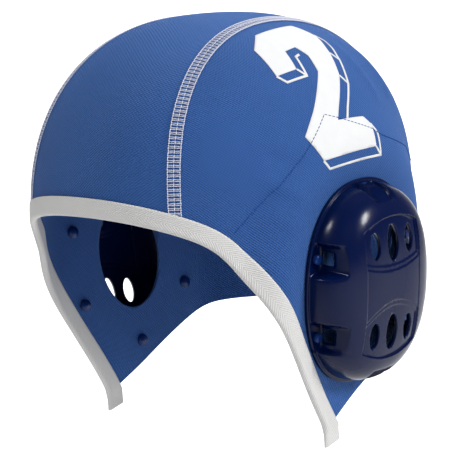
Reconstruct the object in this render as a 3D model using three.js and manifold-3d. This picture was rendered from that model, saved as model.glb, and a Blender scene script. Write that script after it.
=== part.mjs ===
// A water polo cap: a stretch cloth cap in three panels, a folded binding tape with two short tie
// ends, and two hollow ear guards held by pegs. Millimetres, +Z up. The face looks along -Y and the
// wearer's left is +X. The origin is the inside of the crown's highest point, where the cap sits.
import * as THREE from "three";
import { mergeVertices } from "three/addons/utils/BufferGeometryUtils.js";
import Module from "manifold-3d";

const wasm = await Module();
wasm.setup();

// Driving dimensions of the cloth form, taken outside. A drop is counted down from the crown.
const cloth = 1.2;
const half_breadth = 80;
const front_reach = 90.7;
const back_reach = 94.7;
const side_round = 78.7;
const front_round = 94.2;
const back_round = 89.4;
const side_tuck = 9.4;
const front_tuck = 4.5;
const back_tuck = 23.7;
const tuck_drop = 194;
const hub_drop = 92;

// The edge line, as drops: across the brow, down the cheek to the flap's corner, then up to the nape.
const brow_drop = 80.2;
const brow_fall = 0.46;
const cheek_fall = 1.71;
const cheek_turn = 64;
const cheek_soft = 9;
const nape_drop = 142;
const nape_rise = 0.63;
const nape_turn = 49.5;
const nape_soft = 12;

// The seams stand this far from the middle at the brow, over the crown and at the nape.
const seam_front = 46.5;
const seam_top = 28;
const seam_back = 27;
const seam_gap = 0.3;

// The binding tape, folded round the edge, and its tie ends.
const tape = 1;
const tape_width = 8.7;
const tape_gap = 0.4;
const fold_gap = 0.5;
const tie_length = 6.4;
const tie_slant = 2;
const tie_gap = 0.3;

// The ear guard: the middle of its seat on the cloth, how it is turned, and its size.
const guard_out = 74;
const guard_behind = 6;
const guard_drop = 117.3;
const guard_yaw = 4.5;
const guard_pitch = 5.5;
const guard_roll = 3;
const guard_length = 74;
const guard_height = 92;
const guard_depth = 22;
const guard_wall = 2;
const rim_width = 1.2;
const rim_thick = 1.8;
const seat_gap = 0.3;
const seat_margin = 4;
const seat_fade = 26;

// The hole in the cloth for the ear.
const ear_length = 36;
const ear_height = 52;

// The vent slots, in an upper and a lower group of three, in two sunk fields.
const slot_length = 8;
const slot_height = 16.5;
const side_slot_length = 6.3;
const side_slot_height = 12.2;
const slot_pitch = 11.8;
const vent_apart = 40.6;
const field_length = 38;
const field_outer = 27.4;
const field_outer_bow = 4.8;
const upper_field_inner = 13.2;
const upper_field_bow = 3.2;
const lower_field_inner = 15.2;
const lower_field_bow = 7.4;
const field_sink = 0.8;

// The scoops over the pegs, with a window in the back wall of each, and the pegs.
const scoop_length = 15.2;
const scoop_back_length = 10.6;
const scoop_deep = 7.2;
const scoop_lean = 1;
const scoop_wall = 1.4;
const window_sill = 0.6;
const window_length = 6.6;
const window_height = 6.7;
const peg_head = 4.6;
const peg_rise = 2.2;
const shank = 2.2;
const shank_gap = 0.3;
const washer = 5.6;
const washer_thick = 1;
const peg_inset = 3.6;
const upper_peg_angle = 21.5;
const lower_peg_angle = 27;

// How the rounded forms curve: 2 is an ellipse, more is squarer.
const side_power = 2.32;
const front_power = 2.31;
const back_power = 2.35;
const plan_front_power = 2.22;
const plan_back_power = 1.93;
const guard_outline_power = 2.3;
const guard_dome_power = 3.2;

// Folds of the cloth on each side. Places are shares of the back reach (behind) and of the flap's
// drop (down). Rise and breadth are shares of the half breadth.
const folds = [
  { behind: -0.52, down: 0.37, to_behind: -0.33, to_down: 0.43, rise: 0.016, breadth: 0.05 },
  { behind: -0.49, down: 0.45, to_behind: -0.33, to_down: 0.53, rise: 0.014, breadth: 0.05 },
  { behind: 0.36, down: 0.06, to_behind: 0.46, to_down: 0.2, rise: 0.013, breadth: 0.06 },
  { behind: 0.5, down: 0.12, to_behind: 0.58, to_down: 0.26, rise: 0.011, breadth: 0.07 },
  { behind: -0.08, down: 0.9, to_behind: 0.08, to_down: 0.94, rise: 0.014, breadth: 0.045 },
];

// How quickly a fold rises at its ends.
const fold_ends = 3;

// How far down on either side a line over the crown is followed, in degrees from the top.
const lowest_turn = 150;

// Edges shorter than this are closed up.
const grain = 0.02;

// How far a cut runs past the walls that it goes through.
const cut_over = 4;

// How finely each piece is divided.
const centre_columns = 10;
const centre_rows = 26;
const cheek_columns = 13;
const nape_columns = 10;
const side_rows = 15;
const tie_stations = 2;
const guard_sides = 26;
const dome_steps = 5;
const hole_steps = 5;
const shank_steps = 3;
const peg_sides = 7;

// Colours and finishes.
const blue_cloth = { color: 0x3a64a6, roughness: 0.85, metalness: 0 };
const white_tape = { color: 0xd2d2d2, roughness: 0.9, metalness: 0 };
const navy_plastic = { color: 0x0c1a46, roughness: 0.25, metalness: 0 };
const blue_plastic = { color: 0x16387c, roughness: 0.3, metalness: 0 };

const { cos, sin, atan2, hypot, sqrt, abs, min, max, sign, PI } = Math;
const radians = THREE.MathUtils.degToRad;
const lerp = THREE.MathUtils.lerp;
const vector = (x, y, z) => new THREE.Vector3(x, y, z);

// Form of the head-shaped shell.
const side_form = { reach: half_breadth, round: side_round, power: side_power, tuck: side_tuck };
const front_form = { reach: front_reach, round: front_round, power: front_power, tuck: front_tuck };
const back_form = { reach: back_reach, round: back_round, power: back_power, tuck: back_tuck };

function reachAt(form, drop) {
  const above = max(1 - drop / form.round, 0);
  const below = max(drop - form.round, 0) / (tuck_drop - form.round);
  return form.reach * (1 - above ** form.power) ** (1 / form.power) - form.tuck * below ** 2;
}

function isInside(x, y, z) {
  const drop = cloth - z;
  if (drop <= 0) return false;
  const [form, power] = y < 0 ? [front_form, plan_front_power] : [back_form, plan_back_power];
  return (abs(x) / reachAt(side_form, drop)) ** power + (abs(y) / reachAt(form, drop)) ** power < 1;
}

// The smallest number from low to high for which the test fails, found by halving.
function limitOf(test, low, high) {
  for (let step = 0; step < 36; step++) {
    const middle = (low + high) / 2;
    if (test(middle)) low = middle;
    else high = middle;
  }
  return low;
}

const hub = vector(0, 0, cloth - hub_drop);
const farthest = 2 * (half_breadth + back_reach);

function castOnForm(point) {
  const way = point.clone().sub(hub).normalize();
  const at = (length) => way.clone().multiplyScalar(length).add(hub);
  return at(limitOf((length) => isInside(...at(length)), 0, farthest));
}

// The ear guard's own frame on the left: x points out of the seat, y to the rear and z up.
const guardFrame = new THREE.Matrix4()
  .makeTranslation(guard_out, guard_behind, cloth - guard_drop)
  .multiply(
    new THREE.Matrix4().makeRotationFromEuler(
      new THREE.Euler(radians(guard_roll), radians(guard_pitch), radians(guard_yaw), "ZYX"),
    ),
  );
const intoGuard = guardFrame.clone().invert();
const seatNormal = vector(1, 0, 0).transformDirection(guardFrame);
const seatMiddle = vector(0, 0, 0).applyMatrix4(guardFrame);

const smooth = (share) => THREE.MathUtils.smoothstep(share, 0, 1);

// The size of the guard-shaped ring that passes through a place, where 1 is the ring of reach 1.
const outlineRing = (across, up) =>
  (abs(across) ** guard_outline_power + abs(up) ** guard_outline_power) ** (1 / guard_outline_power);

// How far the cloth stands out sideways from the plain form: flat on the guard's seat, and folds.
function pushOut(x, y, z) {
  const slope = seatNormal.y * (y - seatMiddle.y) + seatNormal.z * (z - seatMiddle.z);
  const seatX = seatMiddle.x - slope / seatNormal.x;
  const local = vector(seatX, y, z).applyMatrix4(intoGuard);
  const halfLength = guard_length / 2 + seat_margin;
  const halfHeight = guard_height / 2 + seat_margin;
  const ring = outlineRing(local.y / halfLength, local.z / halfHeight);
  const beyond = ((ring - 1) * (halfLength + halfHeight)) / 2 / seat_fade;
  const seated = 1 - smooth(beyond);
  let push = seated * (seatX - x);
  for (const fold of folds) {
    const start = vector(0, fold.behind * back_reach, cloth - fold.down * flapDrop);
    const end = vector(0, fold.to_behind * back_reach, cloth - fold.to_down * flapDrop);
    const along = end.clone().sub(start);
    const from = vector(0, y, z).sub(start);
    const share = from.dot(along) / along.lengthSq();
    const apart = from.addScaledVector(along, -share).length() / (fold.breadth * half_breadth);
    const ends = smooth(0.5 + fold_ends * min(share, 1 - share));
    push += (1 - seated) * ends * fold.rise * half_breadth * Math.exp(-apart * apart);
  }
  return push;
}

function skinAt(point) {
  const base = castOnForm(point);
  base.x += sign(base.x) * pushOut(abs(base.x), base.y, base.z);
  return base;
}

// A point of the cloth's outer face, and the direction that points straight out of it.
function faceAt(point) {
  const probe = cloth / 2;
  const way = point.clone().sub(hub).normalize();
  const across = vector(-way.y, way.x, 0).normalize();
  const up = way.clone().cross(across);
  const beside = (step, length) => skinAt(point.clone().addScaledVector(step, length));
  const difference = (step) => beside(step, probe).sub(beside(step, -probe));
  const normal = difference(across).cross(difference(up)).normalize();
  if (normal.dot(way) < 0) normal.negate();
  return { at: skinAt(point), normal };
}

// The edge line of the cloth.
function brokenLine(middle, slopeBefore, slopeAfter, soft, y) {
  const turn = (slopeAfter - slopeBefore) * (y - middle);
  return slopeBefore * (y - middle) + (turn + sqrt(turn * turn + soft * soft)) / 2;
}
const turnDrop = brow_drop + brow_fall * (front_reach - cheek_turn);
const browLine = (y) => turnDrop + brokenLine(-cheek_turn, brow_fall, cheek_fall, cheek_soft, y);
const napeLine = (y) => nape_drop + brokenLine(-nape_turn, 0, nape_rise, nape_soft, -y);
const cornerY = limitOf((y) => browLine(y) < napeLine(y), -cheek_turn, nape_turn);
const flapDrop = browLine(cornerY);
const edgeDrop = (y) => (y < cornerY ? browLine(y) : napeLine(y));

// A point of the edge at a turn round the head, from 0 at the front to 180 at the back.
function edgeAt(turn) {
  const [form, power] = abs(turn) < 90 ? [front_form, plan_front_power] : [back_form, plan_back_power];
  const across = sin(radians(turn));
  const along = cos(radians(turn));
  const yAt = (drop) => -sign(along) * reachAt(form, drop) * abs(along) ** (2 / power);
  const drop = limitOf((trial) => trial < edgeDrop(yAt(trial)), brow_drop / 2, flapDrop + tape_width);
  const x = sign(across) * reachAt(side_form, drop) * abs(across) ** (2 / power);
  return vector(x, yAt(drop), cloth - drop);
}
const cornerTurn = limitOf((turn) => edgeAt(turn).y < cornerY, 45, 135);

// A seam runs in planes of constant x, at an angle from 0 at the front over 90 at the top.
function seamOffset(angle) {
  const share = (1 - cos(radians(angle))) / 2;
  const control = 2 * seam_top - (seam_front + seam_back) / 2;
  return lerp(lerp(seam_front, control, share), lerp(control, seam_back, share), share);
}
function formInPlane(x, angle) {
  const at = (length) => vector(x, -length * cos(radians(angle)), hub.z + length * sin(radians(angle)));
  return at(limitOf((length) => isInside(...at(length)), 0, farthest));
}
const isAboveEdge = (point) => cloth - point.z < edgeDrop(point.y);
function seamEnds(shift) {
  const at = (angle) => formInPlane(seamOffset(angle) + shift, angle);
  const front = limitOf((turned) => isAboveEdge(at(90 - turned)), 0, lowest_turn);
  const back = limitOf((turned) => isAboveEdge(at(90 + turned)), 0, lowest_turn);
  return { at, first: 90 - front, last: 90 + back };
}
const turnOf = (point) => {
  const [reach, power] = point.y < 0
    ? [reachAt(front_form, cloth - point.z), plan_front_power]
    : [reachAt(back_form, cloth - point.z), plan_back_power];
  const across = (abs(point.x) / reachAt(side_form, cloth - point.z)) ** (power / 2);
  const along = -sign(point.y) * (abs(point.y) / reach) ** (power / 2);
  return THREE.MathUtils.radToDeg(atan2(across, along));
};

// Solids. A box is bent by moving its vertices: u and v run along the sheet and w through it.
function toSolid(geometry) {
  const bare = new THREE.BufferGeometry().setAttribute("position", geometry.getAttribute("position"));
  bare.setIndex(geometry.index);
  const merged = mergeVertices(bare, 1e-3);
  const places = merged.attributes.position.array;
  const corners = [];
  let volume = 0;
  for (let i = 0; i < merged.index.count; i += 3) {
    const [a, b, c] = [0, 1, 2].map((k) => merged.index.getX(i + k));
    if (a === b || b === c || c === a) continue;
    const [p, q, r] = [a, b, c].map((k) => new THREE.Vector3().fromArray(places, 3 * k));
    volume += p.dot(q.cross(r));
    corners.push([a, b, c]);
  }
  const facing = volume < 0 ? corners.map(([a, b, c]) => [a, c, b]) : corners;
  return new wasm.Manifold(
    new wasm.Mesh({ numProp: 3, vertProperties: places, triVerts: new Uint32Array(facing.flat()) }),
  );
}

function toGeometry(solid) {
  const mesh = solid.getMesh();
  const geometry = new THREE.BufferGeometry();
  geometry.setAttribute("position", new THREE.BufferAttribute(new Float32Array(mesh.vertProperties), 3));
  geometry.setIndex(new THREE.BufferAttribute(new Uint32Array(mesh.triVerts), 1));
  geometry.computeVertexNormals();
  return geometry;
}

function bentBox(columns, rows, place) {
  const box = new THREE.BoxGeometry(1, 1, 1, columns, rows, 1).translate(0.5, 0.5, 0.5);
  const spots = box.attributes.position;
  for (let i = 0; i < spots.count; i++) {
    spots.setXYZ(i, ...place(spots.getX(i), spots.getY(i), spots.getZ(i)));
  }
  return box;
}

function clothPoint(point, w) {
  const face = faceAt(point);
  return face.at.addScaledVector(face.normal, (w - 1) * cloth);
}

function mirrored(geometry) {
  return geometry.clone().scale(-1, 1, 1);
}

// The centre panel, between the two seams. Across runs from -1 at the right seam to 1 at the left.
const centreSeam = seamEnds(-seam_gap / 2);
const centreAt = (across, angle) => {
  const at = centreSeam.at(angle);
  return castOnForm(vector(at.x * across, at.y, at.z));
};
function centreEnds(across) {
  const first = 90 - limitOf((turned) => isAboveEdge(centreAt(across, 90 - turned)), 0, lowest_turn);
  const last = 90 + limitOf((turned) => isAboveEdge(centreAt(across, 90 + turned)), 0, lowest_turn);
  return [first, last];
}

function centrePanel() {
  return bentBox(centre_columns, centre_rows, (u, v, w) => {
    const across = 2 * u - 1;
    return clothPoint(centreAt(across, lerp(...centreEnds(across), v)), w);
  });
}

// The columns of a side panel: its edge from the front seam to the flap's corner, and on to the nape.
const sideSeam = seamEnds(seam_gap / 2);
const side_columns = cheek_columns + nape_columns;
function sideTurn(column) {
  return column < cheek_columns
    ? lerp(turnOf(sideSeam.at(sideSeam.first)), cornerTurn, column / cheek_columns)
    : lerp(cornerTurn, turnOf(sideSeam.at(sideSeam.last)), (column - cheek_columns) / nape_columns);
}

// A side panel runs from the edge line up to its seam, and has the ear hole and the peg holes.
function sidePanel() {
  const cut = 1 / side_columns;
  const sheet = bentBox(side_columns, side_rows, (u, v, w) => {
    const low = edgeAt(sideTurn(Math.round(u * side_columns)));
    const high = sideSeam.at(lerp(sideSeam.first, sideSeam.last, lerp(cut, 1 - cut, u)));
    return clothPoint(low.lerp(high, v), w);
  });
  let panel = toSolid(sheet).subtract(toSolid(earHole()));
  for (const spot of pegSpots) panel = panel.subtract(toSolid(shankHole(spot)));
  return toGeometry(panel);
}

function earHole() {
  const outline = new THREE.Shape().absellipse(0, 0, ear_length / 2, ear_height / 2, 0, 2 * PI);
  return extrudedOut(outline, -cloth - cut_over, cut_over, 2 * hole_steps).applyMatrix4(guardFrame);
}

// The binding tape is a strip folded round the edge line: v runs down its inner leg, round the
// fold and up its outer leg. Past the flap's corner it hangs straight down as the tie end.
function tapeStations() {
  const stations = [];
  for (let column = 0; column < centre_columns / 2; column++) {
    const across = (2 * column) / centre_columns;
    stations.push({ at: centreAt(across, centreEnds(across)[0]), hang: 0 });
  }
  for (let column = 0; column <= cheek_columns; column++) {
    stations.push({ at: edgeAt(sideTurn(column)), hang: 0 });
  }
  const corner = edgeAt(cornerTurn);
  for (let step = 1; step <= tie_stations; step++) {
    const hang = (tie_length * step) / tie_stations;
    stations.push({ at: vector(corner.x, corner.y, corner.z - hang), hang });
  }
  return stations;
}

// The left half of the tape, from the middle of the brow to its tie end.
function halfTape() {
  const stations = tapeStations();
  const corner = edgeAt(cornerTurn);
  const last = stations.length - 1;
  stations.forEach((station, i) => {
    const came = i > 0 ? station.at.clone().sub(stations[i - 1].at).normalize() : vector(1, 0, 0);
    const goes = i < last ? stations[i + 1].at.clone().sub(station.at).normalize() : came.clone();
    const along = i > 0 ? came.add(goes).normalize() : came;
    station.normal = faceAt(station.hang > 0 ? corner : station.at).normal;
    station.up = station.normal.clone().cross(along).normalize();
  });
  const slot = cloth / 2 + tape_gap;
  const top = tape_width - fold_gap - tape;
  const section = [
    { out: -1, up: top, under: 0 },
    { out: -1, up: 0, under: 0 },
    { out: 0, up: 0, under: 1 },
    { out: 1, up: 0, under: 0 },
    { out: 1, up: top, under: 0 },
  ];
  const bends = section.length - 1;
  return bentBox(last, bends, (u, v, w) => {
    const station = stations[Math.round(u * last)];
    const fold = section[Math.round(v * bends)];
    const closed = smooth(station.hang / tie_length);
    const half = lerp(slot, tie_gap / 2, min(2 * closed, 1)) + w * tape;
    const up = fold.up - fold_gap * (fold.up > 0 ? 0 : 1) - fold.under * w * tape;
    const slant = (tie_slant * station.hang * (fold.up - top)) / tie_length / top;
    const place = station.at.clone().addScaledVector(station.up, up);
    if (station.hang > 0) {
      place.z += slant;
      return place.addScaledVector(station.normal, fold.out * half - cloth / 2);
    }
    const face = faceAt(place);
    const spot = face.at.addScaledVector(face.normal, fold.out * half - cloth / 2);
    return u > 0 ? spot : spot.setX(0);
  });
}

function bindingTape() {
  const left = halfTape();
  return toGeometry(toSolid(left).add(toSolid(mirrored(left))));
}

// Turns a shape drawn in x and y, and extruded along z, to face out of the guard's seat.
const facingOut = new THREE.Matrix4().makeBasis(vector(0, 1, 0), vector(0, 0, 1), vector(1, 0, 0));

// A dome over the guard's outline. The profile's inset is taken from the outline, at its side.
function dome(inset, height, foot) {
  const edge = 1 - inset / (guard_length / 2);
  const profile = [new THREE.Vector2(0, foot), new THREE.Vector2(edge, foot)];
  for (let step = 0; step <= dome_steps; step++) {
    const turn = (PI / 2) * (step / dome_steps);
    const share = edge * cos(turn) ** (2 / guard_dome_power);
    const rise = height * sin(turn) ** (2 / guard_dome_power);
    profile.push(new THREE.Vector2(step < dome_steps ? share : 0, rise));
  }
  return outlined(new THREE.LatheGeometry(profile, guard_sides));
}

// Stretches a turned shape of radius 1 to the guard's outline, with its axis out of the seat.
function outlined(lathe) {
  const spots = lathe.attributes.position;
  for (let i = 0; i < spots.count; i++) {
    const radius = hypot(spots.getX(i), spots.getZ(i));
    const across = radius ? spots.getX(i) / radius : 0;
    const up = radius ? spots.getZ(i) / radius : 0;
    const round = radius ? radius / outlineRing(across, up) : 0;
    spots.setXYZ(i, spots.getY(i), (round * across * guard_length) / 2, (round * up * guard_height) / 2);
  }
  return lathe;
}

function extrudedOut(outline, low, high, segments) {
  const block = new THREE.ExtrudeGeometry(outline, {
    depth: high - low,
    bevelEnabled: false,
    curveSegments: segments,
  });
  return block.translate(0, 0, low).applyMatrix4(facingOut);
}

// A point of the guard's outline, moved in by an inset, at an angle from the rear over the top.
function outlinePoint(angle, inset) {
  const across = cos(radians(angle));
  const up = sin(radians(angle));
  const round = 1 / outlineRing(across, up);
  const place = vector(0, (round * across * guard_length) / 2, (round * up * guard_height) / 2);
  return place.multiplyScalar(1 - inset / place.length());
}

// Pegs stand at the top and bottom, and twice at the front and at the rear. The scoop over each one
// faces straight up, forwards, down or backwards.
const pegSpots = [
  [90, 90],
  [180 - upper_peg_angle, 180],
  [180 + lower_peg_angle, 180],
  [270, 270],
  [-lower_peg_angle, 0],
  [upper_peg_angle, 0],
].map(([angle, faces]) => ({ faces, at: outlinePoint(angle, peg_inset) }));

function shankHole(spot) {
  const outline = new THREE.Shape().absarc(spot.at.y, spot.at.z, shank / 2 + shank_gap, 0, 2 * PI);
  const reach = seat_gap + rim_thick + cut_over;
  return extrudedOut(outline, -cloth - cut_over, reach, shank_steps).applyMatrix4(guardFrame);
}

// A block over a peg, open to the outside of the guard. It narrows towards its back wall, which leans
// inwards as it rises. Grown is how far its sides and its back wall are moved apart.
function scoopBlock(spot, low, high, grown) {
  const block = bentBox(1, 1, (u, v, w) => {
    const height = lerp(low, high, w);
    const back = scoop_deep - peg_inset + (scoop_lean * height) / guard_depth + grown;
    const half = lerp(scoop_length, scoop_back_length, u) / 2 + grown;
    return [height, lerp(peg_inset + cut_over, -back, u), (2 * v - 1) * half];
  });
  return block.rotateX(radians(spot.faces)).translate(0, spot.at.y, spot.at.z);
}

// The window in a scoop's back wall, from the peg to past the wall.
function windowBlock(spot, sill) {
  const reach = scoop_deep - peg_inset + scoop_lean + scoop_wall + cut_over;
  const block = new THREE.BoxGeometry(window_height, reach, window_length);
  block.translate(sill + window_height / 2, -reach / 2, 0);
  return block.rotateX(radians(spot.faces)).translate(0, spot.at.y, spot.at.z);
}

// The guard: rim, hollow dome, sunk vent fields, slots, and a walled scoop over each peg.
function earGuard() {
  const rimTop = seat_gap + rim_thick;
  const outer = toSolid(dome(rim_width, guard_depth, seat_gap));
  const lowered = toSolid(dome(rim_width + field_sink, guard_depth - field_sink, seat_gap));
  const inner = toSolid(dome(rim_width + guard_wall, guard_depth - guard_wall, -guard_wall));
  const rim = toSolid(
    outlined(
      new THREE.LatheGeometry(
        [[0, seat_gap], [1, seat_gap], [1, rimTop], [0, rimTop]].map(([r, h]) => new THREE.Vector2(r, h)),
        guard_sides,
      ),
    ),
  );
  let body = outer.add(rim).subtract(inner);
  for (const spot of pegSpots) {
    const walls = toSolid(scoopBlock(spot, seat_gap, guard_depth, scoop_wall));
    body = body.add(walls.intersect(outer));
  }
  for (const spot of pegSpots) {
    body = body.subtract(toSolid(scoopBlock(spot, rimTop, guard_depth + cut_over, 0)));
    body = body.subtract(toSolid(windowBlock(spot, rimTop + window_sill)));
  }
  for (const side of [1, -1]) body = body.subtract(toSolid(ventField(side)).subtract(lowered));
  for (const slot of slots) {
    const outline = new THREE.Shape();
    outline.absellipse(slot.behind, slot.up, slot.length / 2, slot.height / 2, 0, 2 * PI);
    body = body.subtract(toSolid(extrudedOut(outline, guard_depth / 2, guard_depth + cut_over, hole_steps)));
  }
  for (const spot of pegSpots) {
    const hole = shankHole(spot).applyMatrix4(intoGuard);
    body = body.subtract(toSolid(hole));
  }
  return toGeometry(body).applyMatrix4(guardFrame);
}

const slots = [1, -1].flatMap((side) =>
  [-1, 0, 1].map((column) => ({
    behind: column * slot_pitch,
    up: (side * vent_apart) / 2,
    length: column ? side_slot_length : slot_length,
    height: column ? side_slot_height : slot_height,
  })),
);

// A vent field is bowed on its inner edge, towards the guard's middle, and on its outer edge.
function ventField(side) {
  const half = field_length / 2;
  const [near, bow] = side > 0
    ? [upper_field_inner, upper_field_bow]
    : [lower_field_inner, lower_field_bow];
  const outline = new THREE.Shape();
  outline.moveTo(-half, side * near);
  outline.quadraticCurveTo(0, side * (near - 2 * bow), half, side * near);
  outline.lineTo(half, side * field_outer);
  outline.quadraticCurveTo(0, side * (field_outer + 2 * field_outer_bow), -half, side * field_outer);
  outline.closePath();
  return extrudedOut(outline, guard_depth / 2, guard_depth + cut_over, hole_steps);
}

// A peg: a round head on the rim, a shank through rim and cloth, and a washer inside the cloth.
function guardPeg(spot) {
  const rimTop = seat_gap + rim_thick;
  const inside = -cloth - seat_gap;
  const headLow = rimTop + seat_gap;
  const profile = [
    [0, inside - washer_thick],
    [washer / 2, inside - washer_thick],
    [washer / 2, inside],
    [shank / 2, inside],
    [shank / 2, headLow],
    [peg_head / 2, headLow],
    [peg_head / 2, headLow + peg_rise / 2],
    [0, headLow + peg_rise],
  ].map(([radius, height]) => new THREE.Vector2(radius, height));
  const peg = new THREE.LatheGeometry(profile, peg_sides).rotateZ(-PI / 2);
  return toGeometry(toSolid(peg.translate(0, spot.at.y, spot.at.z).applyMatrix4(guardFrame)));
}

// The assembly.
const group = new THREE.Group();

function addPiece(name, geometry, look) {
  const solid = toSolid(geometry).simplify(grain);
  const mesh = new THREE.Mesh(toGeometry(solid), new THREE.MeshStandardMaterial(look));
  mesh.name = name;
  group.add(mesh);
}

addPiece("centre_panel", centrePanel(), blue_cloth);
addPiece("binding_tape", bindingTape(), white_tape);
const panel = sidePanel();
const guard = earGuard();
addPiece("side_panel_left", panel, blue_cloth);
addPiece("side_panel_right", mirrored(panel), blue_cloth);
addPiece("ear_guard_left", guard, navy_plastic);
addPiece("ear_guard_right", mirrored(guard), navy_plastic);
pegSpots.forEach((spot, index) => {
  const peg = guardPeg(spot);
  addPiece(`guard_peg_left_${index + 1}`, peg, blue_plastic);
  addPiece(`guard_peg_right_${index + 1}`, mirrored(peg), blue_plastic);
});

export default group;
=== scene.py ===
# %% [markdown]
# # A water polo cap
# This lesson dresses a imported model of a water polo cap: stretch cloth in three panels, a folded
# binding tape with two tie ends, and a hollow ear guard on each side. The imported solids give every
# size and place. Here each piece gets its fine surface, its stitches and its finish.

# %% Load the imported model
import functools
import math
import random

import bmesh
import bpy
import numpy as np
from mathutils import Matrix, Vector


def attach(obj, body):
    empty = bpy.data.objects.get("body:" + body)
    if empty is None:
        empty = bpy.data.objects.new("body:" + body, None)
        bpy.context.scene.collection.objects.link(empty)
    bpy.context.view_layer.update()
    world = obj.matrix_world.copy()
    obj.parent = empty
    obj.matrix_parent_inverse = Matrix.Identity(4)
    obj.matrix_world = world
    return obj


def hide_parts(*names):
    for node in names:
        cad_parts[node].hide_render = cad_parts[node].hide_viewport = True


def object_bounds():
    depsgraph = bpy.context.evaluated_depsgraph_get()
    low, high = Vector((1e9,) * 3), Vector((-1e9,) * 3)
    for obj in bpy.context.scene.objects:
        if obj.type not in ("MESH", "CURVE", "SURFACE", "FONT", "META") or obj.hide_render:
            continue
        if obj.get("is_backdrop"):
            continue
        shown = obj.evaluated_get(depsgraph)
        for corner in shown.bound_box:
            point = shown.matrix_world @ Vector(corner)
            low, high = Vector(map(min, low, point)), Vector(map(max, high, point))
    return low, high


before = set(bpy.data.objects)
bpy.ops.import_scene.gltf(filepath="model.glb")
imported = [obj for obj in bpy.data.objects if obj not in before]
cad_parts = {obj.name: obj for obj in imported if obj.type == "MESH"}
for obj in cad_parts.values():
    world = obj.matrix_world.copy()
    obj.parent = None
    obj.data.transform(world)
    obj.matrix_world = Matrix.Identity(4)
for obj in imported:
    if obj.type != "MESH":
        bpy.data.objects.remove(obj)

cad_box = [list(corner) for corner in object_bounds()]
mm = 0.001

# %% [markdown]
# ## The form of the head
# A stretch cap has no shape of its own: it takes the shape of the head in it. The form is described
# by its reach at each drop below the crown, as a rounded curve that tucks in again lower down. Working
# with whole arrays of points keeps this quick. Lengths are in millimetres until a piece is made.

# %% Sizes of the cloth form
cloth = 1.2
side_form = (80.0, 78.7, 2.32, 9.4)
front_form = (90.7, 94.2, 2.31, 4.5)
back_form = (94.7, 89.4, 2.35, 23.7)
plan_front_power, plan_back_power = 2.22, 1.93
tuck_drop = 194.0
hub = np.array([0.0, 0.0, cloth - 92.0])


def reach_at(form, drop):
    reach, rounded, power, tuck = form
    above = np.clip(1 - drop / rounded, 0, None)
    below = np.clip(drop - rounded, 0, None) / (tuck_drop - rounded)
    return reach * np.clip(1 - above**power, 0, None) ** (1 / power) - tuck * below**2


def plan_at(front, drop):
    """The form's reach to the front or the back at a drop, and the power of its outline there."""
    reach = np.where(front, reach_at(front_form, drop), reach_at(back_form, drop))
    return reach, np.where(front, plan_front_power, plan_back_power)


def is_inside(points):
    drop = cloth - points[:, 2]
    reach, power = plan_at(points[:, 1] < 0, drop)
    side, reach = np.maximum(reach_at(side_form, drop), 1e-6), np.maximum(reach, 1e-6)
    share = (np.abs(points[:, 0]) / side) ** power + (np.abs(points[:, 1]) / reach) ** power
    return (share < 1) & (drop > 0)


def halve(test, low, high):
    """The last number, counted up from low, for which the test still holds."""
    for _ in range(40):
        middle = (low + high) / 2
        holds = test(middle)
        low, high = np.where(holds, middle, low), np.where(holds, high, middle)
    return low


def cast(origin, way):
    """Where rays that start inside the form leave it."""
    low, high = np.zeros(len(way)), np.full(len(way), 400.0)
    length = halve(lambda reach: is_inside(origin + way * reach[:, None]), low, high)
    return origin + way * length[:, None]


def unit(vectors):
    return vectors / np.maximum(np.linalg.norm(vectors, axis=-1, keepdims=True), 1e-12)


# %% [markdown]
# ## Where the cloth leaves the plain form
# The ear guard presses the cloth flat, and a few shallow folds run over it. The guard has a frame of
# its own: x points out of its seat, y to the rear and z up, and three small angles turn it.

# %% The guard's frame
guard_place = np.array([74.0, 6.0, cloth - 117.3])
guard_turns = [math.radians(angle) for angle in (3.0, 5.5, 4.5)]
guard_length, guard_height, guard_depth = 74.0, 92.0, 22.0
outline_power, dome_power = 2.3, 3.2
turned = [Matrix.Rotation(angle, 3, axis) for angle, axis in zip(guard_turns, "XYZ")]
guard_turn = np.array(turned[2] @ turned[1] @ turned[0])


def out_of_guard(points):
    return points @ guard_turn.T + guard_place


def into_guard(points):
    return (points - guard_place) @ guard_turn


def outline_ring(across, up):
    return (np.abs(across) ** outline_power + np.abs(up) ** outline_power) ** (1 / outline_power)


# %% [markdown]
# Each fold is a soft ridge along a line on the side of the cap, written as: how far behind and how far
# down it starts and ends, how much it rises, and how broad it is. The first five also stand in the
# solids. The finer ones are drag lines that only show in the cloth's shading.

# %% Folds of the cloth
back_reach, flap_drop, half_breadth = 94.7, 180.0, 80.0
seat_margin, seat_blend = 4, 26
folds = [
    (-0.52, 0.37, -0.33, 0.43, 0.016, 0.05),
    (-0.49, 0.45, -0.33, 0.53, 0.014, 0.05),
    (0.36, 0.06, 0.46, 0.2, 0.013, 0.06),
    (0.5, 0.12, 0.58, 0.26, 0.011, 0.07),
    (-0.08, 0.9, 0.08, 0.94, 0.014, 0.045),
    (-0.5, 0.4, -0.3, 0.465, -0.012, 0.03),
    (-0.47, 0.49, -0.3, 0.58, -0.013, 0.03),
    (-0.46, 0.315, -0.27, 0.365, -0.01, 0.028),
    (-0.56, 0.53, -0.38, 0.64, 0.012, 0.035),
    (0.26, 0.08, 0.34, 0.22, 0.016, 0.025),
    (0.43, 0.08, 0.5, 0.22, 0.018, 0.025),
    (0.1, 0.03, 0.2, 0.1, 0.012, 0.03),
    (-0.02, 0.86, 0.1, 0.9, -0.014, 0.03),
    (-0.14, 0.84, -0.02, 0.92, 0.012, 0.025),
]


def smooth(share):
    share = np.clip(share, 0, 1)
    return share * share * (3 - 2 * share)


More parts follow.
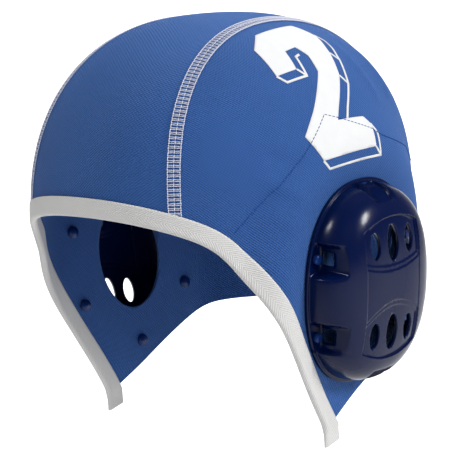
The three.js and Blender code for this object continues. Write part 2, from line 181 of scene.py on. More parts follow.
def push_out(points):
    """How far the cloth stands out sideways from the plain form."""
    away = np.abs(points[:, 0])
    level = points[:, 1:] - guard_place[1:]
    seat_x = guard_place[0] - level @ guard_turn[1:, 0] / guard_turn[0, 0]
    local = into_guard(np.column_stack([seat_x, points[:, 1:]]))
    half_length, half_height = guard_length / 2 + seat_margin, guard_height / 2 + seat_margin
    ring = outline_ring(local[:, 1] / half_length, local[:, 2] / half_height)
    seated = 1 - smooth((ring - 1) * (half_length + half_height) / 2 / seat_blend)
    push = seated * (seat_x - away)
    for behind, down, to_behind, to_down, rise, breadth in folds:
        start = np.array([behind * back_reach, cloth - down * flap_drop])
        along = np.array([to_behind * back_reach, cloth - to_down * flap_drop]) - start
        share = (points[:, 1:] - start) @ along / (along @ along)
        apart = np.linalg.norm(points[:, 1:] - start - share[:, None] * along, axis=1)
        ends = smooth(0.5 + 3 * np.minimum(share, 1 - share))
        ridge = rise * half_breadth * np.exp(-((apart / breadth / half_breadth) ** 2))
        push += (1 - seated) * ends * ridge
    return push


def skin(points):
    """The cloth's outer face, seen from the hub through each point."""
    face = cast(hub, unit(points - hub))
    face[:, 0] += np.sign(face[:, 0]) * push_out(face)
    return face


def normals_at(points):
    reach = 0.6
    way = unit(points - hub)
    across = unit(np.cross(way, [0.0, 0.3, 1.0]))
    up = np.cross(way, across)
    sides = [skin(points + step) - skin(points - step) for step in (reach * across, reach * up)]
    normal = unit(np.cross(*sides))
    return normal * np.sign((normal * way).sum(1))[:, None]


def on_cloth(points, height):
    """The cloth's face under each point, and the place that stands over it by a height."""
    return skin(points) + normals_at(points) * np.reshape(height, (-1, 1))


crown_and_side = skin(np.array([[0.0, 0.0, 50.0], [90.0, 0.0, -90.0]]))
print("crown and side:", crown_and_side.round(2).tolist())

# %% [markdown]
# ## The edge and the seams
# One edge line runs across the brow, down the cheek to the flap's corner and up to the nape. Two seams
# run over the crown and part the cloth into a centre panel and two side panels.

# %% The edge line
brow_drop, brow_slope, cheek_slope, cheek_y, cheek_soft = 80.2, 0.46, 1.71, -64.0, 9
nape_drop, flap_slope, flap_y, flap_soft = 142, 0.63, 49.5, 12


def broken_line(middle, before, after, soft, y):
    """The drop along a line that turns from one slope to another at its middle, with a soft bend."""
    turn = (after - before) * (y - middle)
    return before * (y - middle) + (turn + np.sqrt(turn * turn + soft * soft)) / 2


def brow_line(y):
    start = brow_drop + brow_slope * (front_form[0] + cheek_y)
    return start + broken_line(cheek_y, brow_slope, cheek_slope, cheek_soft, y)


def nape_line(y):
    return nape_drop + broken_line(-flap_y, 0, flap_slope, flap_soft, -y)


corner_y = float(halve(lambda y: brow_line(y) < nape_line(y), np.array(cheek_y), np.array(flap_y)))


def edge_drop(y):
    return np.where(y < corner_y, brow_line(y), nape_line(y))


def edge_at(turn):
    """A point of the edge at a turn round the head, from 0 at the front to 180 at the back."""
    across, along = np.sin(np.radians(turn)), np.cos(np.radians(turn))
    power = plan_at(along > 0, 0)[1]

    def y_at(drop):
        return -np.sign(along) * plan_at(along > 0, drop)[0] * np.abs(along) ** (2 / power)

    low, high = np.full(len(turn), 40.0), np.full(len(turn), 195.0)
    drop = halve(lambda trial: trial < edge_drop(y_at(trial)), low, high)
    x = np.sign(across) * reach_at(side_form, drop) * np.abs(across) ** (2 / power)
    return np.column_stack([x, y_at(drop), cloth - drop])


def is_before_corner(turn):
    return edge_at(np.array([turn]))[0, 1] < corner_y


corner_turn = float(halve(is_before_corner, np.array(45.0), np.array(135.0)))
corner = edge_at(np.array([corner_turn]))[0]
print("flap corner", corner.round(1), "turn", round(corner_turn, 1))

# %% The seam line
seam_front, seam_top, seam_back = 46.5, 28.0, 27.0


def seam_offset(angle):
    share = (1 - np.cos(np.radians(angle))) / 2
    control = 2 * seam_top - (seam_front + seam_back) / 2
    low = seam_front + (control - seam_front) * share
    high = control + (seam_back - control) * share
    return low + (high - low) * share


def seam_at(angle):
    origin = np.column_stack([seam_offset(angle), 0 * angle, np.full(len(angle), hub[2])])
    turn = np.radians(angle)
    return cast(origin, np.column_stack([0 * angle, -np.cos(turn), np.sin(turn)]))


def above_edge(points):
    return cloth - points[:, 2] < edge_drop(points[:, 1])


def ends_of(line, many):
    """The angles at which lines over the crown meet the edge, at the front and at the back."""
    top = np.full(many, 90.0)
    zero, most = np.zeros(many), np.full(many, 150.0)
    front = halve(lambda turned: above_edge(line(top - turned)), zero, most)
    back = halve(lambda turned: above_edge(line(top + turned)), zero, most)
    return 90 - front, 90 + back


seam_first, seam_last = (float(end[0]) for end in ends_of(seam_at, 1))
print("seam from", round(seam_first, 1), "to", round(seam_last, 1))

# %% [markdown]
# ## Making a piece
# Every piece starts as a bmesh, gets its vertices moved to their places in millimetres, and becomes an
# object at the origin that rides on the cap's one body. A grid is the best start for cloth, because
# its rows and columns can follow the cut of the panel.

# %% Helpers for pieces
def place(bm, points):
    for vert, point in zip(bm.verts, points):
        vert.co = Vector(point) * mm


def places(bm):
    return np.array([vert.co[:] for vert in bm.verts]) / mm


def sheet_grid(columns, rows):
    """A flat grid, and the share along its columns and rows at each vertex."""
    bm = bmesh.new()
    bmesh.ops.create_grid(bm, x_segments=columns, y_segments=rows, size=0.5)
    spots = np.array([vert.co[:2] for vert in bm.verts])
    shares = (spots - spots.min(0)) / (spots.max(0) - spots.min(0))
    return bm, shares[:, 0], shares[:, 1]


def set_uv(bm, flat):
    layer = bm.loops.layers.uv.new("UVMap")
    bm.verts.index_update()
    for face in bm.faces:
        for loop in face.loops:
            loop[layer].uv = flat[loop.vert.index]


def mirrored(bm):
    other = bm.copy()
    bmesh.ops.scale(other, vec=(-1, 1, 1), verts=other.verts)
    bmesh.ops.reverse_faces(other, faces=other.faces)
    return other


def both_sides(bm):
    return ("right", mirrored(bm)), ("left", bm)


def chain(bm, points):
    """Vertices joined by edges, one after the other."""
    verts = [bm.verts.new(point) for point in points]
    return verts, [bm.edges.new(pair) for pair in zip(verts[:-1], verts[1:])]


def extruded(bm, edges):
    """The new vertices of extruded edges."""
    made = bmesh.ops.extrude_edge_only(bm, edges=edges)["geom"]
    return [item for item in made if isinstance(item, bmesh.types.BMVert)]


def add_to_scene(name, data):
    item = bpy.data.objects.new(name, data)
    bpy.context.scene.collection.objects.link(item)
    return item


def make_object(name, bm, look):
    mesh = bpy.data.meshes.new(name)
    bm.to_mesh(mesh)
    bm.free()
    mesh.materials.append(look)
    for polygon in mesh.polygons:
        polygon.use_smooth = True
    return add_to_scene(name, mesh)


def finish_piece(name, bm, look):
    piece = make_object(name, bm, look)
    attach(piece, "root")
    print(f"{name}: {len(piece.data.polygons)} faces")
    return piece


def thicken(piece, thickness, offset=-1):
    wall = piece.modifiers.new("wall", "SOLIDIFY")
    wall.thickness = thickness * mm
    wall.offset = offset
    wall.use_even_offset = False
    return piece


# %% [markdown]
# ## Shared effects
# Two effects are used by more than one finish, so each is a node group. The rib group draws the fine
# slanting lines of a knit or a twill from flat coordinates. The mottle group gives the variation that
# dyed cloth, yarn and moulded plastic have, in patches of any size.

# %% Node groups
def new_group(name, inputs, outputs):
    group = bpy.data.node_groups.new(name, "ShaderNodeTree")
    for label, kind, value in inputs:
        socket = group.interface.new_socket(label, in_out="INPUT", socket_type=kind)
        if value is not None:
            socket.default_value = value
    for label, kind in outputs:
        group.interface.new_socket(label, in_out="OUTPUT", socket_type=kind)
    return group, group.nodes.new("NodeGroupInput"), group.nodes.new("NodeGroupOutput")


def math_node(tree, operation, *values):
    node = tree.nodes.new("ShaderNodeMath")
    node.operation = operation
    for socket, value in zip(node.inputs, values):
        if isinstance(value, (int, float)):
            socket.default_value = value
        else:
            tree.links.new(value, socket)
    return node.outputs[0]


def rib_group():
    """Ridges across flat coordinates: Slant turns them, Pitch is their spacing in metres."""
    number = "NodeSocketFloat"
    inputs = [("Flat", "NodeSocketVector", None), ("Slant", number, 0.8), ("Pitch", number, 0.001)]
    group, given, result = new_group("Ribs", inputs, [("Height", number)])
    parts = group.nodes.new("ShaderNodeSeparateXYZ")
    group.links.new(given.outputs["Flat"], parts.inputs[0])
    sides = []
    for side, wave in zip(parts.outputs, ("COSINE", "SINE")):
        sides.append(math_node(group, "MULTIPLY", side, math_node(group, wave, given.outputs["Slant"])))
    count = math_node(group, "DIVIDE", math_node(group, "ADD", *sides), given.outputs["Pitch"])
    wave = math_node(group, "SINE", math_node(group, "MULTIPLY", count, 2 * math.pi))
    group.links.new(math_node(group, "MULTIPLY_ADD", wave, 0.5, 0.5), result.inputs["Height"])
    return group


def mottle_group():
    """Variation from 0 to 1, from object coordinates. Size is the size of its patches in metres."""
    inputs = [("Place", "NodeSocketVector", None), ("Size", "NodeSocketFloat", 0.02)]
    group, given, result = new_group("Mottle", inputs, [("Amount", "NodeSocketFloat")])
    noise = group.nodes.new("ShaderNodeTexNoise")
    noise.inputs["Detail"].default_value = 3
    group.links.new(given.outputs["Place"], noise.inputs["Vector"])
    group.links.new(math_node(group, "DIVIDE", 1.0, given.outputs["Size"]), noise.inputs["Scale"])
    group.links.new(noise.outputs["Fac"], result.inputs["Amount"])
    return group


ribs, mottle = rib_group(), mottle_group()
print("groups:", [group.name for group in bpy.data.node_groups])


# %% Helpers for materials
def new_look(name, color, roughness, **sockets):
    """A material. Further sockets of its shader are named with _ for each space."""
    look = bpy.data.materials.new(name)
    look.use_nodes = True
    shader = look.node_tree.nodes["Principled BSDF"]
    shader.inputs["Base Color"].default_value = (*color, 1)
    shader.inputs["Roughness"].default_value = roughness
    for label, value in sockets.items():
        shader.inputs[label.replace("_", " ")].default_value = value
    look.diffuse_color = (*color, 1)
    return look, look.node_tree, shader


def use_group(tree, group, **values):
    node = tree.nodes.new("ShaderNodeGroup")
    node.node_tree = group
    for label, value in values.items():
        if isinstance(value, (int, float)):
            node.inputs[label].default_value = value
        else:
            tree.links.new(value, node.inputs[label])
    return node.outputs[0]


def coordinates(tree, kind):
    return tree.nodes.new("ShaderNodeTexCoord").outputs[kind]


def mix_colors(tree, share, first, second):
    node = tree.nodes.new("ShaderNodeMix")
    node.data_type = "RGBA"
    tree.links.new(share, node.inputs["Factor"])
    for socket, color in zip((node.inputs[6], node.inputs[7]), (first, second)):
        if isinstance(color, tuple):
            socket.default_value = (*color, 1)
        else:
            tree.links.new(color, socket)
    return node.outputs[2]


def mottled(tree, size):
    return use_group(tree, mottle, Place=coordinates(tree, "Object"), Size=size)


def scaled(color, factor):
    return tuple(channel * factor for channel in color)


def paint(tree, shader, share, deep, lit):
    tree.links.new(mix_colors(tree, share, deep, lit), shader.inputs["Base Color"])


def emboss(tree, shader, height, distance, strength=1.0):
    node = tree.nodes.new("ShaderNodeBump")
    node.inputs["Distance"].default_value = distance
    node.inputs["Strength"].default_value = strength
    tree.links.new(height, node.inputs["Height"])
    tree.links.new(node.outputs["Normal"], shader.inputs["Normal"])


# %% [markdown]
# ## The stretch cloth
# Swim cloth is a tight knit. Close up it shows fine slanting ribs with a weaker set across them, and
# from further off a soft sheen at grazing angles. The ribs are bump and a little colour: painted shade
# darkens the valleys between yarns and painted light brightens the rib tops. They follow the flat
# coordinates of each panel.

# %% Finish of the cloth
cloth_blue = (0.029, 0.095, 0.31)


def cloth_look(name, slant):
    look, tree, shader = new_look(
        name, cloth_blue, 0.82, Sheen_Weight=0.14, Sheen_Roughness=0.4, Sheen_Tint=(0.5, 0.7, 1.0, 1),
        Specular_IOR_Level=0.2,
    )
    flat = coordinates(tree, "UV")
    main = use_group(tree, ribs, Flat=flat, Slant=slant, Pitch=0.00105)
    cross = use_group(tree, ribs, Flat=flat, Slant=slant + 1.75, Pitch=0.0013)
    knit = math_node(tree, "MULTIPLY_ADD", cross, 0.35, main)
    slow = mottled(tree, 0.03)
    # Painted shade in the knit's valleys (deep) and painted light on its rib tops (lit), both mottled by dye.
    deep = mix_colors(tree, slow, scaled(cloth_blue, 0.76), scaled(cloth_blue, 0.88))
    lit = mix_colors(tree, slow, scaled(cloth_blue, 1.08), scaled(cloth_blue, 1.22))
    paint(tree, shader, math_node(tree, "MULTIPLY", knit, 0.74), deep, lit)
    emboss(tree, shader, knit, 0.0004)
    return look


centre_look = cloth_look("centre_cloth", -0.8)
side_look = cloth_look("side_cloth", 0.8)

# %% [markdown]
# ## The centre panel
# This panel is cut as a long strip that is broad at the brow and narrow at the nape. A grid with its
# columns along the seams follows that cut. Beside the seam the two layers of cloth lie over each
# other, so the panel swells a little there.

# %% The centre panel
seam_line = seam_at(np.linspace(seam_first, seam_last, 260))
flat_radius = 95
welt_height, welt_width, welt_soft = 0.25, 4.0, 1.4


def seam_swell(points):
    """A low welt beside each seam, where the joined edges lie over each other."""
    side = points.copy()
    side[:, 0] = np.abs(side[:, 0])
    apart = np.linalg.norm(side[:, None, :] - seam_line[None, :, :], axis=2).min(1)
    return welt_height * smooth((welt_width - apart) / welt_soft)


def centre_at(across, angle):
    at = seam_at(angle)
    return cast(hub, unit(np.column_stack([at[:, 0] * across, at[:, 1], at[:, 2]]) - hub))


def lay_cloth(bm, points, flat):
    place(bm, on_cloth(points, seam_swell(points)))
    set_uv(bm, flat * mm)
    return bm


def centre_panel():
    bm, u, v = sheet_grid(64, 230)
    across = 2 * u - 1
    shares, which = np.unique(across, return_inverse=True)
    first, last = ends_of(lambda angle: centre_at(shares, angle), len(shares))
    angle = first[which] + (last[which] - first[which]) * v
    points = centre_at(across, angle)
    flat = np.column_stack([points[:, 0], np.radians(angle) * flat_radius])
    return lay_cloth(bm, points, flat)


crown = finish_piece("crown_cloth", centre_panel(), centre_look)
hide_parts("centre_panel")
thicken(crown, cloth)

# %% [markdown]
# ## The side panels
# A side panel is bounded by the edge line and one seam, so its columns run from the edge up to the
# seam. The ear hole is cut by deleting the faces in it and drawing the loose border onto an ellipse.

# %% The side panels
def turn_of(point):
    drop = cloth - point[2]
    reach, power = plan_at(point[1] < 0, drop)
    across = (abs(point[0]) / reach_at(side_form, drop)) ** (power / 2)
    along = -math.copysign((abs(point[1]) / reach) ** (power / 2), point[1])
    return math.degrees(math.atan2(across, along))


seam_turns = [turn_of(seam_at(np.array([end]))[0]) for end in (seam_first, seam_last)]
cheek_share = 0.56
ear_hole = np.array([18.0, 26.0])
far_side = -30


def in_ear_hole(bm):
    """Each vertex in the guard's frame, its ring round the ear hole, and whether it lies in the hole."""
    spots = into_guard(places(bm))
    ring = np.hypot(*(spots[:, 1:] / ear_hole).T)
    return spots, ring, (ring < 1) & (spots[:, 0] > far_side)


def cut_ear_hole(bm):
    inside = in_ear_hole(bm)[2]
    bm.verts.index_update()
    doomed = [face for face in bm.faces if all(inside[vert.index] for vert in face.verts)]
    bmesh.ops.delete(bm, geom=doomed, context="FACES")
    spots, ring, inside = in_ear_hole(bm)
    points = places(bm)
    points[inside] = out_of_guard(np.column_stack([spots[:, 0], spots[:, 1:] / ring[:, None]]))[inside]
    place(bm, points)


def side_panel():
    bm, u, v = sheet_grid(150, 96)
    cheek = seam_turns[0] + (corner_turn - seam_turns[0]) * u / cheek_share
    nape = corner_turn + (seam_turns[1] - corner_turn) * (u - cheek_share) / (1 - cheek_share)
    low = edge_at(np.where(u < cheek_share, cheek, nape))
    high = seam_at(seam_first + (seam_last - seam_first) * (0.04 + 0.92 * u))
    points = low + (high - low) * v[:, None]
    way = unit(points - hub)
    open_out = np.arccos(np.clip(way[:, 0], -1, 1)) / np.maximum(np.hypot(way[:, 1], way[:, 2]), 1e-6)
    lay_cloth(bm, points, way[:, 1:] * open_out[:, None] * flat_radius)
    cut_ear_hole(bm)
    return bm


for side, bm in both_sides(side_panel()):
    panel = finish_piece(f"side_cloth_{side}", bm, side_look)
    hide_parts(f"side_panel_{side}")
    thicken(panel, cloth)

# %% [markdown]
# ## Strips that follow a line
# Seam stitches, tape and thread all follow a line on the cap. They are laid out flat first, with
# length along x, breadth along y and height along z, and then wrapped: x picks a place on the line,
# y steps sideways over the cloth, and z lifts off it.

# %% Wrapping a flat strip onto a line
def by_length(line):
    steps = np.linalg.norm(np.diff(line, axis=0), axis=1)
    return np.concatenate([[0], np.cumsum(steps)])


def along_line(line, lengths):
    """Places on the line, and the directions that it runs in there."""
    marks, reach = by_length(line), 0.8
    behind, at, ahead = (
        np.column_stack([np.interp(lengths + shift, marks, line[:, k]) for k in range(3)])
        for shift in (-reach, 0, reach)
    )
    return at, unit(ahead - behind)


def wrap(bm, line, lift=0.0):
    flat = places(bm)
    at, forward = along_line(line, flat[:, 0])
    side = unit(np.cross(normals_at(at), forward))
    place(bm, on_cloth(at + side * flat[:, 1:2], flat[:, 2] + lift))
    return bm


# %% [markdown]
# ## The seam stitches
# The panels are joined by a flat cover stitch: a ladder of white thread, with a knotted row along each
# side, a straight row in the middle, and pairs of rungs between them. Each rung and knot is a very
# plain shape, because there are hundreds of them.

# %% Thread pieces laid flat
def add_thread(bm, start, end, radius):
    start, end = Vector(start), Vector(end)
    way = end - start
    turn = way.to_track_quat("Z", "Y").to_matrix().to_4x4()
    spot = Matrix.Translation((start + end) / 2) @ turn
    bmesh.ops.create_cone(
        bm, cap_ends=True, segments=5, radius1=radius, radius2=radius, depth=way.length, matrix=spot
    )


def add_knot(bm, middle, size, slant):
    spot = Matrix.Translation(middle) @ Matrix.Rotation(slant, 4, "Z") @ Matrix.Diagonal((*size, 1))
    bmesh.ops.create_icosphere(bm, subdivisions=1, radius=1.0, matrix=spot)


def seam_ladder(line):
    length = by_length(line)[-1]
    bm = bmesh.new()
    chance = random.Random(4)
    pitch, half, rung_gap, rung_height, rung_radius = 2.05, 2.75, 0.36, 0.18, 0.19
    for count in range(int(length / pitch)):
        here = (count + 0.5) * pitch
        for shift in (-rung_gap, rung_gap):
            lean = chance.uniform(-0.12, 0.12)
            for low, high in ((-half, 0), (0, half)):
                start, end = (here + shift - lean, low, rung_height), (here + shift + lean, high, rung_height)
                add_thread(bm, start, end, rung_radius)
        for row in (-half, half):
            for step in (-0.5, 0.5):
                middle = (here + step * 1.02, row + chance.uniform(-0.06, 0.06), 0.32)
                add_knot(bm, middle, (0.6, 0.3, 0.3), 0.35 * step)
        add_knot(bm, (here, 0, 0.42), (1.05, 0.26, 0.22), chance.uniform(-0.05, 0.05))
    bmesh.ops.scale(bm, vec=(mm, mm, mm), verts=bm.verts)
    return bm


# %% [markdown]
# Sewing thread is off-white and matt. Its colour leans to blue as painted bounce light from the cloth
# around it, with a little variation from stitch to stitch.

# %% Finish of the thread and the seams
def thread_look(name, color):
    look, tree, shader = new_look(name, color, 0.75, Specular_IOR_Level=0.15)
    paint(tree, shader, mottled(tree, 0.0016), scaled(color, 0.8), scaled(color, 1.1))
    return look


# The white thread's blue tint is painted bounce light from the cloth.
white_thread = thread_look("white_thread", (0.62, 0.64, 0.74))
blue_thread = thread_look("blue_thread", (0.012, 0.06, 0.25))
tape_cover_front, tape_cover_back, ladder_lift = 1.8, 0.6, 0.22
seam_run = seam_at(np.linspace(seam_first + tape_cover_front, seam_last - tape_cover_back, 300))
for side, bm in both_sides(wrap(seam_ladder(seam_run), seam_run, ladder_lift)):
    finish_piece(f"seam_stitches_{side}", bm, white_thread)

# %% [markdown]
# ## The binding tape
# A twill tape is folded over the raw edge and sewn down. Past the flap's corner its two legs come
# together and hang as a tie. The section is a narrow U: it is laid along the edge line, and a wall
# is given to it afterwards.

# %% The tape's course
tie_length, tape_width, tie_slant = 6.4, 8.7, 2.0
fold_radius, fold_drop, fold_taper, tape_below, tape_wall = 1.35, 0.2, 0.12, 1.9, 0.8
half_course = edge_at(np.linspace(0.0, corner_turn, 240))
hang_line = corner - np.linspace(0.6, tie_length, 9)[:, None] * [0, 0, 1]


def soften(line, passes):
    """Rounds a line's bends: in each pass every inner point moves towards the mean of its neighbours."""
    for _ in range(passes):
        line = np.vstack([line[:1], (line[:-2] + 2 * line[1:-1] + line[2:]) / 4, line[-1:]])
    return line


print("tape from", half_course[0].round(1), "to", hang_line[-1].round(1))


def tape_section(top):
    """The U of the tape: how far out and how far up each of its points lies."""
    turns = np.linspace(0, math.pi, 9)
    low = [(-fold_radius * math.cos(turn), -fold_drop - fold_radius * math.sin(turn)) for turn in turns]
    rise = np.linspace(0.3, top, 8)
    outer = [(fold_radius - fold_taper * (up / top) ** 2, up) for up in rise]
    inner = [(-out, up) for out, up in outer[::-1]]
    return np.array(inner + low + outer)


def half_tape():
    course = soften(np.vstack([half_course, hang_line]), 30)
    hang = np.concatenate([np.zeros(len(half_course)), corner[2] - hang_line[:, 2]])
    top = tape_width - tape_below
    section = tape_section(top)
    bm, u, v = sheet_grid(len(course) - 1, len(section) - 1)
    station = np.rint(u * (len(course) - 1)).astype(int)
    rung = np.rint(v * (len(section) - 1)).astype(int)
    out, rise = section[rung].T
    forward = np.gradient(course, axis=0)
    forward[0] = [1, 0, 0]
    rounded = np.where(hang[:, None] > 0, corner, course)
    normal = normals_at(rounded)
    up = unit(np.cross(normal, unit(forward)))
    tied = hang[station]
    out = out * (1 - 0.55 * smooth(tied / tie_length * 2))
    points = course[station] + up[station] * rise[:, None]
    push = skin(corner[None]) - corner
    free = points + push + normal[station] * (out - cloth / 2)[:, None]
    free[:, 2] += tie_slant * tied * (rise - top) / tie_length / top
    laid = on_cloth(points, out - cloth / 2)
    done = np.where(tied[:, None] > 0, free, laid)
    done[station == 0, 0] = 0
    place(bm, done)
    marks, arc = by_length(course), by_length(section)
    set_uv(bm, np.column_stack([marks[station], arc[rung]]) * mm)
    return bm, arc[-1], marks[-1]


# %% [markdown]
# The tape is a white herringbone twill: slanting ribs that turn back at the middle of the tape, so
# that they draw arrows along it. Mirroring the breadth before the ribs are drawn gives that turn.

# %% Finish of the tape
def tape_look():
    white = (0.6, 0.595, 0.59)
    look, tree, shader = new_look("binding_twill", white, 0.85, Sheen_Weight=0.2)
    parts = tree.nodes.new("ShaderNodeSeparateXYZ")
    tree.links.new(coordinates(tree, "UV"), parts.inputs[0])
    breadth = math_node(tree, "PINGPONG", math_node(tree, "ADD", parts.outputs[1], 0.0002), 0.0045)
    joined = tree.nodes.new("ShaderNodeCombineXYZ")
    tree.links.new(parts.outputs[0], joined.inputs[0])
    tree.links.new(breadth, joined.inputs[1])
    twill = use_group(tree, ribs, Flat=joined.outputs[0], Slant=0.95, Pitch=0.00085)
    yarn = use_group(tree, ribs, Flat=joined.outputs[0], Slant=-0.5, Pitch=0.0006)
    weave = math_node(tree, "MULTIPLY_ADD", yarn, 0.3, twill)
    # Painted shade darkens the twill's valleys and painted light brightens its rib tops; the darker colour is
    # also mottled.
    deep = mix_colors(tree, mottled(tree, 0.008), scaled(white, 0.80), scaled(white, 0.88))
    paint(tree, shader, math_node(tree, "MULTIPLY", weave, 0.77), deep, scaled(white, 1.06))
    emboss(tree, shader, weave, 0.00016, 0.9)
    return look


half, tape_breadth, half_length = half_tape()
both = bmesh.new()
for part in (half, mirrored(half)):
    carrier = bpy.data.meshes.new("carrier")
    part.to_mesh(carrier)
    part.free()
    both.from_mesh(carrier)
    bpy.data.meshes.remove(carrier)
bmesh.ops.remove_doubles(both, verts=both.verts, dist=0.00002)
tape = finish_piece("edge_tape", both, tape_look())
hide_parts("binding_tape")
thicken(tape, tape_wall, 0)

# %% [markdown]
# ## The ear guard
# The guard is moulded plastic: a rim, a dome, and six scoops cut into the dome's side over the pegs.
# A grid wrapped round the middle makes it well: columns go round, rows climb from the rim to the
# top. Columns crowd together at the edges of each scoop, and there each row slides inwards from the
# dome to the scoop's straight back wall. Small steps at the ends of that slide round the edges off.

# %% The guard's columns
rim_width, peg_inset = 1.2, 3.6
dome_edge = 1 - rim_width / (guard_length / 2)
scoops = [(90, 90), (158.5, 180), (207, 180), (270, 270), (333, 0), (21.5, 0)]
slide_steps = [
    (8.4, 0.0), (7.9, 0.012), (7.6, 0.05), (7.35, 0.12), (7.1, 0.24), (6.7, 0.42), (6.3, 0.6), (5.9, 0.77),
    (5.55, 0.89), (5.2, 0.96), (4.7, 0.992), (4.0, 1.0), (3.3, 1.0), (2.2, 1.0), (1.1, 1.0), (0.0, 1.0),
]


def outline_at(angle):
    across, up = np.cos(np.radians(angle)), np.sin(np.radians(angle))
    ring = outline_ring(across, up)
    return np.column_stack([across / ring * guard_length / 2, up / ring * guard_height / 2])


def peg_at(angle):
    edge = outline_at(np.array([float(angle)]))[0]
    return edge * (1 - peg_inset / np.linalg.norm(edge))


def facing(faces):
    """The way a scoop opens, and the way along its back wall."""
    turn = math.radians(faces)
    return np.array([math.cos(turn), math.sin(turn)]), np.array([-math.sin(turn), math.cos(turn)])


def guard_columns():
    """Each column's angle, how far it slides into a scoop, that scoop, its offset there, and 1 if it
    is one of the scoop's own columns."""
    columns = []
    steps = [(-way, share) for way, share in slide_steps] + [s for s in slide_steps[::-1] if s[0] > 0]
    for index, (angle, faces) in enumerate(scoops):
        near = np.linspace(angle - 30, angle + 30, 1201)
        offsets = (outline_at(near) * 0.95 - peg_at(angle)) @ facing(faces)[1]
        for offset, share in steps:
            columns.append((float(np.interp(offset, offsets, near)) % 360, share, index, offset, 1))
    columns.sort()
    ring = columns + [(columns[0][0] + 360, *columns[0][1:])]
    filled = []
    for column, after in zip(ring[:-1], ring[1:]):
        many = int((after[0] - column[0]) / 1.6)
        between = [column[0] + (after[0] - column[0]) * k / (many + 1) for k in range(1, many + 1)]
        filled += [column] + [(angle, 0.0, column[2], column[3], 0) for angle in between]
    return np.array(filled + ring[-1:])


# %% [markdown]
# Every row is given twice: its height on the dome, and its distance from the edge and its height in a
# scoop. There it runs over the floor first, then up the back wall, and out onto the dome again.

# %% The guard's rows
rim_rows = [(1.0, 0.5), (1.0, 1.5), (0.998, 1.85), (0.991, 2.05), (0.981, 2.1), (0.973, 2.1)]
dome_heights = [
    2.25, 2.6, 3.1, 3.7, 4.4, 5.2, 6.1, 7.0, 7.9, 8.8, 9.7, 10.7,
    11.7, 12.7, 13.7, 14.6, 15.4, 16.1, 16.7,
]
scoop_rows = [
    (2.6, 2.1), (4.2, 2.1), (5.6, 2.1), (6.6, 2.12), (7.1, 2.3), (7.25, 2.7), (7.3, 4.0), (7.35, 5.2),
    (7.4, 6.4), (7.45, 7.6), (7.5, 8.5), (7.55, 9.4), (7.62, 10.8), (7.7, 12.2), (7.77, 13.4), (7.83, 14.4),
    (7.9, 15.3), (7.95, 15.95), (8.0, 16.45),
]
top_heights, top_shares = [17.2, 17.7, 18.2, 18.6, 19.0], np.linspace(0.68, 0.0, 26)
floor, window_top, lip = 2.1, 9.4, scoop_rows[-1]
window_half, window_foot, window_near, window_far = 3.3, 2.7, 3, 5


def dome_share(height):
    """The size of the dome's ring at a height, as a share of the outline."""
    return dome_edge * (1 - (height / guard_depth) ** dome_power) ** (1 / dome_power)


def dome_height(spots):
    """The dome's height over places behind and up."""
    ring = outline_ring(spots[:, 0] * 2 / guard_length, spots[:, 1] * 2 / guard_height) / dome_edge
    return guard_depth * np.clip(1 - ring**dome_power, 0, 1) ** (1 / dome_power)


def guard_rows():
    """Each row's share of the outline and height on the dome, then its inset, height and kind in a
    scoop: 0 outside it, 1 on its floor and wall, and from 1 to 0 again on the way back over the dome."""
    rows = [(share, height, 0, 0, 0) for share, height in rim_rows]
    rows += [(dome_share(height), height, *deep, 1) for height, deep in zip(dome_heights, scoop_rows)]
    for count, height in enumerate(top_heights):
        rows.append((dome_share(height), height, *lip, 0.85 - 0.17 * count))
    for share in top_shares:
        height = guard_depth * (1 - (share / dome_edge) ** dome_power) ** (1 / dome_power)
        rows.append((share, height, 0, 0, 0))
    return np.array(rows)


# %% [markdown]
# A scoop's columns must run straight inwards, side by side, or they would cross its straight walls.
# So in each row their angles are moved until they stand level with their place in the scoop, and the
# columns between two scoops share that shift out evenly.

# %% The guard's skin
def column_angles(columns, rows):
    own = columns[:, 4] > 0
    angles = np.tile(columns[:, 0], (len(rows), 1))
    for row, (share, _, _, _, kind) in enumerate(rows):
        if kind == 0:
            continue
        shift = np.zeros(len(columns))
        for number, (angle, faces) in enumerate(scoops):
            near = np.linspace(angle - 45, angle + 45, 901)
            size = max(share, dome_share(dome_heights[-1]))
            offsets = (outline_at(near) * size - peg_at(angle)) @ facing(faces)[1]
            mine = own & (columns[:, 2] == number)
            level = np.interp(columns[mine, 3], offsets, near)
            shift[mine] = ((level - columns[mine, 0] + 180) % 360 - 180) * kind
        angles[row] += np.interp(columns[:, 0], columns[own, 0], shift[own], period=360)
    return angles


def guard_skin():
    columns, rows = guard_columns(), guard_rows()
    bm, u, v = sheet_grid(len(columns) - 1, len(rows) - 1)
    column = np.rint(u * (len(columns) - 1)).astype(int)
    row = np.rint(v * (len(rows) - 1)).astype(int)
    angle = column_angles(columns, rows)[row, column]
    _, slide, index, offset, _ = columns[column].T
    share, height, inset, deep, kind = rows[row].T
    spots = outline_at(angle) * share[:, None]
    top = outline_at(angle) * top_shares[0]
    for number, (peg_angle, faces) in enumerate(scoops):
        out, along = facing(faces)
        peg_spot = peg_at(peg_angle)
        wall = out * (peg_spot @ out + peg_inset - inset)[:, None]
        wall = wall + along * (peg_spot @ along + offset)[:, None]
        stretch = (dome_height(wall) - window_top) / (lip[1] - window_top)
        rise = np.where(deep > window_top, window_top + (deep - window_top) * stretch, deep)
        target = np.where((kind < 1)[:, None], top + (wall - top) * kind[:, None], wall)
        part = slide * (index == number) * (kind > 0)
        spots = spots + (target - spots) * part[:, None]
        height = height + (rise - height) * part
    surface = dome_height(spots)
    capped = np.where(kind > 0, np.minimum(height, np.maximum(surface, floor)), height)
    height = np.where((kind > 0) & (kind < 1), surface, capped)
    place(bm, np.column_stack([height, spots]))
    bmesh.ops.remove_doubles(bm, verts=bm.verts, dist=0.00003)
    return bm


